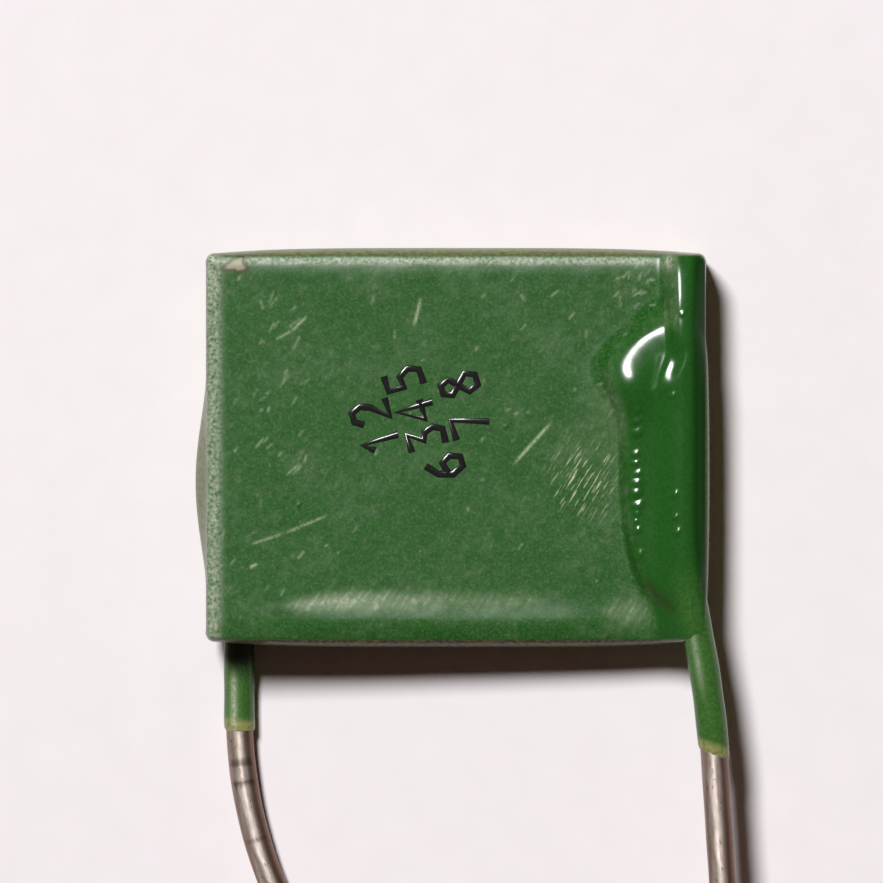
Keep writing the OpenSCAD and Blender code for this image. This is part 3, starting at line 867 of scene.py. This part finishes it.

# %% Paint the runs
# A painted highlight runs along each sleeve's lit side, and a painted shadow of the body
# darkens the corner where the left wire leaves it.
for name, piece in runs.items():
    gone = layer_of(piece.data, "along")
    lip_at = gone.max() - RUNS[name][2] * (1 - np.cos(layer_of(piece.data, "turn")))
    far = (gone - gone.min()) / (gone.max() - gone.min())
    side_way = facing_of(piece.data)[0]
    if name == "left_run":
        sheer = 0.95 * rise(far, 0.62, 0.12)
        corner_dirt = fall(far, 0.64, 0.06)
    else:
        sheer = 0.5 * fall(far, 0.75, 0.2)
        corner_dirt = np.zeros_like(far)
    paint(piece.data, "thin", 0.7 + 0.3 * rise(gone, gone.min(), 1))
    paint(piece.data, "lip", rise(gone, lip_at - 0.3, 0.16))
    paint(piece.data, "glaze", np.full_like(gone, 0.9))
    # A pale painted highlight along the sleeve's lit side.
    paint(piece.data, "worn", hump(side_way, -0.28, 0.15) * sheer)
    paint(piece.data, "scratch", 0.4 * hump(side_way, -0.3, 0.3) * sheer)
    # A dark painted shadow of the body on the left wire.
    paint(piece.data, "rim", 0.9 * corner_dirt)
    paint(piece.data, "flank", corner_dirt)
    print("painted:", name)

# %% [markdown]
# ## Dipped lacquer
# An air-dried alkyd lacquer, pigmented green. It has the reflection of any varnish, with an
# IOR of about 1.5. Where it stayed smooth the eye sees a deep green under sharp glints.
# Where it was rubbed, fine scratches scatter white light and veil the green. The pigment's
# grain and the scratches are finer than a render can show, so their patterns are drawn
# 0.05 to 0.13 mm wide. They could be real grooves, but colour alone reads the same here.

# %% Patterns
DETAIL = 3.0


def grain(tree, place, size, low, high):
    """Noise whose blotches have this size in mm, as a number from 0 to 1."""
    cloudy = {"Vector": place, "Scale": 1 / size, "Detail": DETAIL}
    noise = add(tree, "ShaderNodeTexNoise", cloudy).outputs["Fac"]
    limits = {"Value": noise, "From Min": low, "From Max": high}
    return add(tree, "ShaderNodeMapRange", limits).outputs[0]


def body_place(tree):
    """Object coordinates turned back into the body's own frame, in millimetres."""
    place = add(tree, "ShaderNodeTexCoord").outputs["Object"]
    back = {"Vector": place, "Location": CENTRE, "Rotation": (0, TILT, 0), "Scale": (MM, MM, MM)}
    return add(tree, "ShaderNodeMapping", back, vector_type="TEXTURE").outputs[0]


def numbers_of(tree, names):
    """What was painted on a piece under these names."""
    kept = {name: add(tree, "ShaderNodeAttribute", attribute_name=name) for name in names}
    return {name: node.outputs["Fac"] for name, node in kept.items()}


print("detail of the noise:", DETAIL)

# %% Lacquer's colour
# The scuffing leaves faint streaks ten times as long as they are wide.
STREAK_LONG = 10
lacquer, tree = new_material("green_alkyd_lacquer_dipped")
place = body_place(tree)
on = numbers_of(tree, list(painted) + ["lip"])
streak_way = {"Vector": place, "Rotation": (0, 0, SCUFF_WAY), "Scale": (STREAK_LONG, 1, 1)}
streak_place = add(tree, "ShaderNodeMapping", streak_way, vector_type="TEXTURE").outputs[0]
streaks = {0: grain(tree, streak_place, 0.09, 0.45, 0.75), 1: grain(tree, place, 0.13, 0.35, 0.65)}
streaks = add(tree, "ShaderNodeMath", streaks, operation="MULTIPLY").outputs[0]
veil = {0: streaks, 1: 1.1, 2: 0.4}
veil = add(tree, "ShaderNodeMath", veil, operation="MULTIPLY_ADD").outputs[0]
depth = {0: on["plate"], 1: 0.15, 2: 0.45}
depth = add(tree, "ShaderNodeMath", depth, operation="MULTIPLY_ADD").outputs[0]
GREEN = [
    ("#1A5812", on["thick"]),
    # Painted shade on the ridge's far side, and where the body's shadow falls on the left wire.
    ("#0F3F0A", on["flank"]),
    ("#3D6A27", on["thin"]),
    ("#123F0C", grain(tree, place, 0.07, 0.4, 0.62), depth),
    # Haze, and along the fat edge a painted highlight.
    ("#94A583", on["haze"], veil),
    ("#7C9A66", grain(tree, place, 0.05, 0.52, 0.7), on["plate"], 0.22),
    ("#C9CFA8", on["scuffed"], grain(tree, streak_place, 0.045, 0.56, 0.64), 0.8),
    # Scratches on the plate, and on the sleeves part of a painted highlight.
    ("#AFC09B", on["scratch"], grain(tree, place, 0.05, 0.2, 0.5)),
    ("#98955C", on["lip"], grain(tree, place, 0.1, 0.15, 0.6)),
    # Pale wear, and the painted highlights on the edges, ridge top, fat edge and sleeves.
    ("#CDD2BC", on["worn"], grain(tree, place, 0.07, 0.3, 0.72), 0.85),
    ("#B5A486", on["chip"]),
    # Dark dirt by the chip and crack, and painted shade in the hollow and on the left wire by the body.
    ("#33280F", on["rim"]),
]
olive = layered(tree, "#68783F", [("#55502C", grain(tree, place, 0.12, 0.35, 0.65))])
# The bottom wall is darker and browner than the others.
stained = layered(tree, "#3F3A20", [("#7C714F", grain(tree, place, 0.1, 0.4, 0.7))])
side = layered(tree, olive, [(stained, on["under"])])
colour = layered(tree, "#225B19", GREEN + [(side, on["wall"])])
print("layers in the green:", len(GREEN))

# %% Lacquer's gloss
# The side turned away from the light faces a dark room, so it reflects much less, as dust
# does. Dust is also matt.
FULL_LEVEL, QUIET_LEVEL = 0.45, 0.1
PLATE_ROUGH, GLAZE_ROUGH, DUST_ROUGH = 0.33, 0.2, 0.4
quiet = {0: on["flank"], 1: on["foot"]}
quiet = add(tree, "ShaderNodeMath", quiet, operation="MAXIMUM").outputs[0]
level = {"Value": quiet, "To Min": FULL_LEVEL, "To Max": QUIET_LEVEL}
level = add(tree, "ShaderNodeMapRange", level).outputs[0]
dull = {"Value": on["glaze"], "To Min": PLATE_ROUGH, "To Max": GLAZE_ROUGH}
dull = {0: on["foot"], 1: DUST_ROUGH, 2: add(tree, "ShaderNodeMapRange", dull).outputs[0]}
dull = add(tree, "ShaderNodeMath", dull, operation="MULTIPLY_ADD").outputs[0]
shine = {"Base Color": colour, "Roughness": dull, "IOR": 1.5, "Specular IOR Level": level}
shader = add(tree, "ShaderNodeBsdfPrincipled", shine)
add(tree, "ShaderNodeOutputMaterial", {"Surface": shader.outputs[0]})
for piece in [coat] + list(runs.values()):
    piece.data.materials.append(lacquer)
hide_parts("lacquer_coat")
print("lacquer nodes:", len(tree.nodes))

# %% [markdown]
# ## Tinned wire
# Soft copper wire, hot-dipped in tin. The tin is a bright metal with a soft, slightly
# uneven mirror, dulled by years of air, with dark nicks across it where pliers held it.
# The nicks could be cut into the tube, but they are too shallow to show as a shape, so they
# are painted. Both sides of the wire are darkened in colour as painted shade.

# %% Painted shade on the wire's sides, and nicks
# A nick has its place along the wire and its width.
NICKS = (10.6, 0.06), (11.06, 0.05), (12.3, 0.03)
for name, piece in wires.items():
    side_way, _, up_way = facing_of(piece.data)
    # Both sides of the wire are darkened brown as painted shade.
    tarnish = np.maximum(rise(side_way, 0.12, 0.5), 0.8 * fall(side_way, -0.5, 0.3))
    paint(piece.data, "aside", tarnish)
    gone = layer_of(piece.data, "along")
    pinched = sum(hump(gone, *nick) for nick in NICKS) * (name == "left_wire")
    paint(piece.data, "nick", pinched * rise(up_way, 0.5, 0.2))
    print(name, "points with tarnish:", int((tarnish > 0.5).sum()))

# %% Tinned wire
# The pattern follows the wire: its place is the turn round it and the mm along it.
BRIGHT_ROUGH, DULL_ROUGH = 0.33, 0.46
tinned, tree = new_material("tinned_copper_wire")
on = numbers_of(tree, ["turn", "along", "aside", "nick"])
cosine = add(tree, "ShaderNodeMath", {0: on["turn"]}, operation="COSINE").outputs[0]
sine = add(tree, "ShaderNodeMath", {0: on["turn"]}, operation="SINE").outputs[0]
place = add(tree, "ShaderNodeCombineXYZ", {0: cosine, 1: sine, 2: on["along"]}).outputs[0]
drawn_out = {"Vector": place, "Scale": (1, 1, 0.25)}
drawn_place = add(tree, "ShaderNodeMapping", drawn_out).outputs[0]
TIN = [
    ("#AA9482", grain(tree, drawn_place, 0.5, 0.35, 0.7)),
    # Painted shade on the wire's sides.
    ("#67493A", on["aside"], 0.9),
    ("#3A2C22", on["nick"], 0.85),
    ("#4A3A30", grain(tree, place, 0.12, 0.62, 0.72), 0.8),
]
metal = layered(tree, "#F0E2DA", TIN)
cloudy = grain(tree, place, 0.25, 0.3, 0.7)
rough = {"Value": cloudy, "To Min": BRIGHT_ROUGH, "To Max": DULL_ROUGH}
rough = add(tree, "ShaderNodeMapRange", rough).outputs[0]
shine = {"Base Color": metal, "Metallic": 1.0, "Roughness": rough}
shader = add(tree, "ShaderNodeBsdfPrincipled", shine)
add(tree, "ShaderNodeOutputMaterial", {"Surface": shader.outputs[0]})
for piece in wires.values():
    piece.data.materials.append(tinned)
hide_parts("left_lead")
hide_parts("right_lead")
print("wire nodes:", len(tree.nodes))

# %% [markdown]
# ## Solder under the front wire
# The front wire is soldered over most of its length. The lacquer lies a little lower beside
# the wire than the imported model's plain mound, so that mound would break through. A ball is
# pressed into a mound here and held just under the skin everywhere.

# %% Front solder
MOUND_REACH = 0.95, 0.33
MOUND_HALF, MOUND_TOP, MOUND_POWER, MOUND_COVER = 3.1, 0.749, 2.4, 0.05
MOUND_ROUND = 1.5
NOT_ZERO = 1e-9
bm = bmesh.new()
bmesh.ops.create_uvsphere(bm, u_segments=64, v_segments=32, radius=1)
ball = np.array([v.co for v in bm.verts])
spread = np.hypot(ball[:, 0], ball[:, 1]) + NOT_ZERO
shape = (np.abs(ball[:, 0]) ** MOUND_POWER + np.abs(ball[:, 1]) ** MOUND_POWER) ** (1 / MOUND_POWER)
ball[:, :2] *= (spread / np.maximum(shape, NOT_ZERO))[:, None]
mound_x = RIGHT_X + ball[:, 0] * np.where(ball[:, 0] < 0, *MOUND_REACH)
mound_y = ball[:, 1] * MOUND_HALF - LUMP_LOW
mound_z = SILVER_Z + MOUND_TOP * np.maximum(ball[:, 2], 0) ** MOUND_ROUND
mound_z = np.minimum(mound_z, face_height(FRONT, mound_x, mound_y) - MOUND_COVER)
for v, x, y, z in zip(bm.verts, mound_x, mound_y, np.maximum(mound_z, SILVER_Z)):
    v.co = x, y, z
front_solder = finish(bm, "right_solder_mound")
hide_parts("right_solder")
print("solder top", round(float(mound_z.max()), 3))

# %% [markdown]
# ## What the lacquer hides
# The pieces inside show only where the part is taken apart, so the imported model's own
# meshes are kept and only get their materials. One loop makes all four, because they differ
# in their colours, their grain in mm and their shine alone.
# - Ceramic: pressed and sintered barium titanate, cut square. A matt, slightly sugary cream.
# - Silver: paste fired on at the two ends. A soft white metal without a clear mirror.
# - Solder: tin and lead, melted and left to freeze. A bright, faintly frosted metal.
# - Plates: silver and palladium, printed between the layers. A thin, dull grey metal.

# %% Inner materials
INNER = {
    "ceramic": ("sintered_barium_titanate", "#CDBC9C", "#B39C78", 0.08, 0.0, 0.6),
    "silver": ("fired_silver_paste", "#E2DED8", "#BDB8AF", 0.05, 1.0, 0.5),
    "solder": ("tin_lead_solder_frozen", "#D2D1CF", "#A6A5A6", 0.2, 1.0, 0.32),
    "electrode": ("printed_silver_palladium", "#ABA7A2", "#8A8682", 0.04, 1.0, 0.55),
}
ROUGH_VARIES = 0.1
inner = {}
for slot_name, (name, light, dark, size, metallic, dull_most) in INNER.items():
    inner[slot_name], tree = new_material(name)
    blotches = grain(tree, body_place(tree), size, 0.3, 0.7)
    tone = layered(tree, light, [(dark, blotches)])
    limits = {"Value": blotches, "To Min": dull_most - ROUGH_VARIES, "To Max": dull_most}
    rough = add(tree, "ShaderNodeMapRange", limits).outputs[0]
    shine = {"Base Color": tone, "Metallic": metallic, "Roughness": rough}
    shader = add(tree, "ShaderNodeBsdfPrincipled", shine)
    add(tree, "ShaderNodeOutputMaterial", {"Surface": shader.outputs[0]})
print("inner materials:", ", ".join(inner))

# %% Dress the hidden pieces
NODE_SLOTS = {"ceramic_block": "ceramic", "left_solder": "solder"}
for node_name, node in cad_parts.items():
    if "termination" in node_name:
        NODE_SLOTS[node_name] = "silver"
    if "electrode" in node_name:
        NODE_SLOTS[node_name] = "electrode"
    if node_name in NODE_SLOTS:
        for place_in_list in node.material_slots:
            place_in_list.material = inner[NODE_SLOTS[node_name]]
front_solder.data.materials.append(inner["solder"])
print("dressed:", len(NODE_SLOTS), "packed pieces")

# %% [markdown]
# ## Printed digits
# The body carries a few stamped characters, and plain digits stand in for them here. A font
# would be too regular for a rubber stamp, so each digit is a line of single strokes, made
# round by a curve's bevel, pressed flat and turned into a mesh. It stands a little proud of
# the lacquer. The ink is a glossy varnish with soot: a deep black that stays wet to the eye.

# %% Strokes of the digits
# The points of each line, in shares of the digit's width and height.
DIGITS = {
    "1": [(0.2, 0.72), (0.6, 1), (0.6, 0)],
    "2": [(0.05, 0.75), (0.3, 0.98), (0.72, 0.98), (0.92, 0.72), (0.75, 0.45), (0.05, 0), (0.98, 0)],
    "3": [(0.08, 1), (0.92, 1), (0.42, 0.6), (0.8, 0.52), (0.95, 0.27), (0.72, 0.02), (0.05, 0.05)],
    "4": [(0.72, 0), (0.72, 1), (0.02, 0.32), (1, 0.32)],
    "5": [(0.92, 1), (0.15, 1), (0.12, 0.56), (0.65, 0.6), (0.95, 0.33), (0.75, 0.03), (0.05, 0.02)],
    "6": [
        (0.8, 1), (0.25, 0.72), (0.05, 0.35), (0.3, 0.02),
        (0.75, 0.02), (0.95, 0.3), (0.7, 0.54), (0.15, 0.46),
    ],
    "7": [(0.02, 1), (0.98, 1), (0.4, 0)],
    "8": [
        (0.5, 0.53), (0.12, 0.75), (0.3, 0.99), (0.7, 0.99), (0.88, 0.75), (0.5, 0.53),
        (0.05, 0.28), (0.25, 0.01), (0.75, 0.01), (0.95, 0.28), (0.5, 0.53),
    ],
}
print("strokes:", sum(len(line) - 1 for line in DIGITS.values()))

# %% Ink
ink, tree = new_material("stamping_ink_black_glossy")
black = layered(tree, "#050404", [("#120F0F", grain(tree, body_place(tree), 0.08, 0.3, 0.7))])
shader = add(tree, "ShaderNodeBsdfPrincipled", {"Base Color": black, "Roughness": 0.2, "IOR": 1.5})
add(tree, "ShaderNodeOutputMaterial", {"Surface": shader.outputs[0]})
print("ink nodes:", len(tree.nodes))

# %% Stamp the digits
# Each digit has the place of its middle on the face.
DIGIT_H, DIGIT_W, STROKE_W, PRESSED = 0.8, 0.46, 0.16, 0.22
READING = math.radians(107)
PRINT = {
    "1": (-1.63, 0.12), "2": (-1.87, 0.75),
    "3": (-0.63, 0.2), "4": (-0.87, 0.78), "5": (-1.13, 1.48),
    "6": (-0.24, -0.42), "7": (0.33, 0.49), "8": (0.07, 1.36),
}
LIE = Matrix.Rotation(READING, 4, "Z") @ Matrix.Diagonal((1, 1, PRESSED, 1))
for digit, (cx, cy) in PRINT.items():
    curve = bpy.data.curves.new("digit_" + digit, "CURVE")
    curve.dimensions = "3D"
    curve.bevel_depth = STROKE_W / 2
    curve.bevel_resolution = 3
    curve.use_fill_caps = True
    path = curve.splines.new("POLY")
    path.points.add(len(DIGITS[digit]) - 1)
    for point, (u, v) in zip(path.points, DIGITS[digit]):
        point.co = ((u - 0.5) * DIGIT_W, (v - 0.5) * DIGIT_H, 0, 1)
    drawn = bpy.data.objects.new("drawn_" + digit, curve)
    bpy.context.scene.collection.objects.link(drawn)
    bm = bmesh.new()
    bm.from_mesh(drawn.to_mesh())
    bpy.data.objects.remove(drawn)
    bpy.data.curves.remove(curve)
    bmesh.ops.transform(bm, matrix=Matrix.Translation((cx, cy, FACE_Z)) @ LIE, verts=bm.verts)
    bmesh.ops.recalc_face_normals(bm, faces=bm.faces)
    piece = finish(bm, "ink_digit_" + digit)
    piece.data.materials.append(ink)
print("digits:", "".join(PRINT))

# %% [markdown]
# ## Finish
# The view is plain, so that colours render about as they are written.

# %% Plain view
bpy.context.scene.view_settings.view_transform = "Standard"
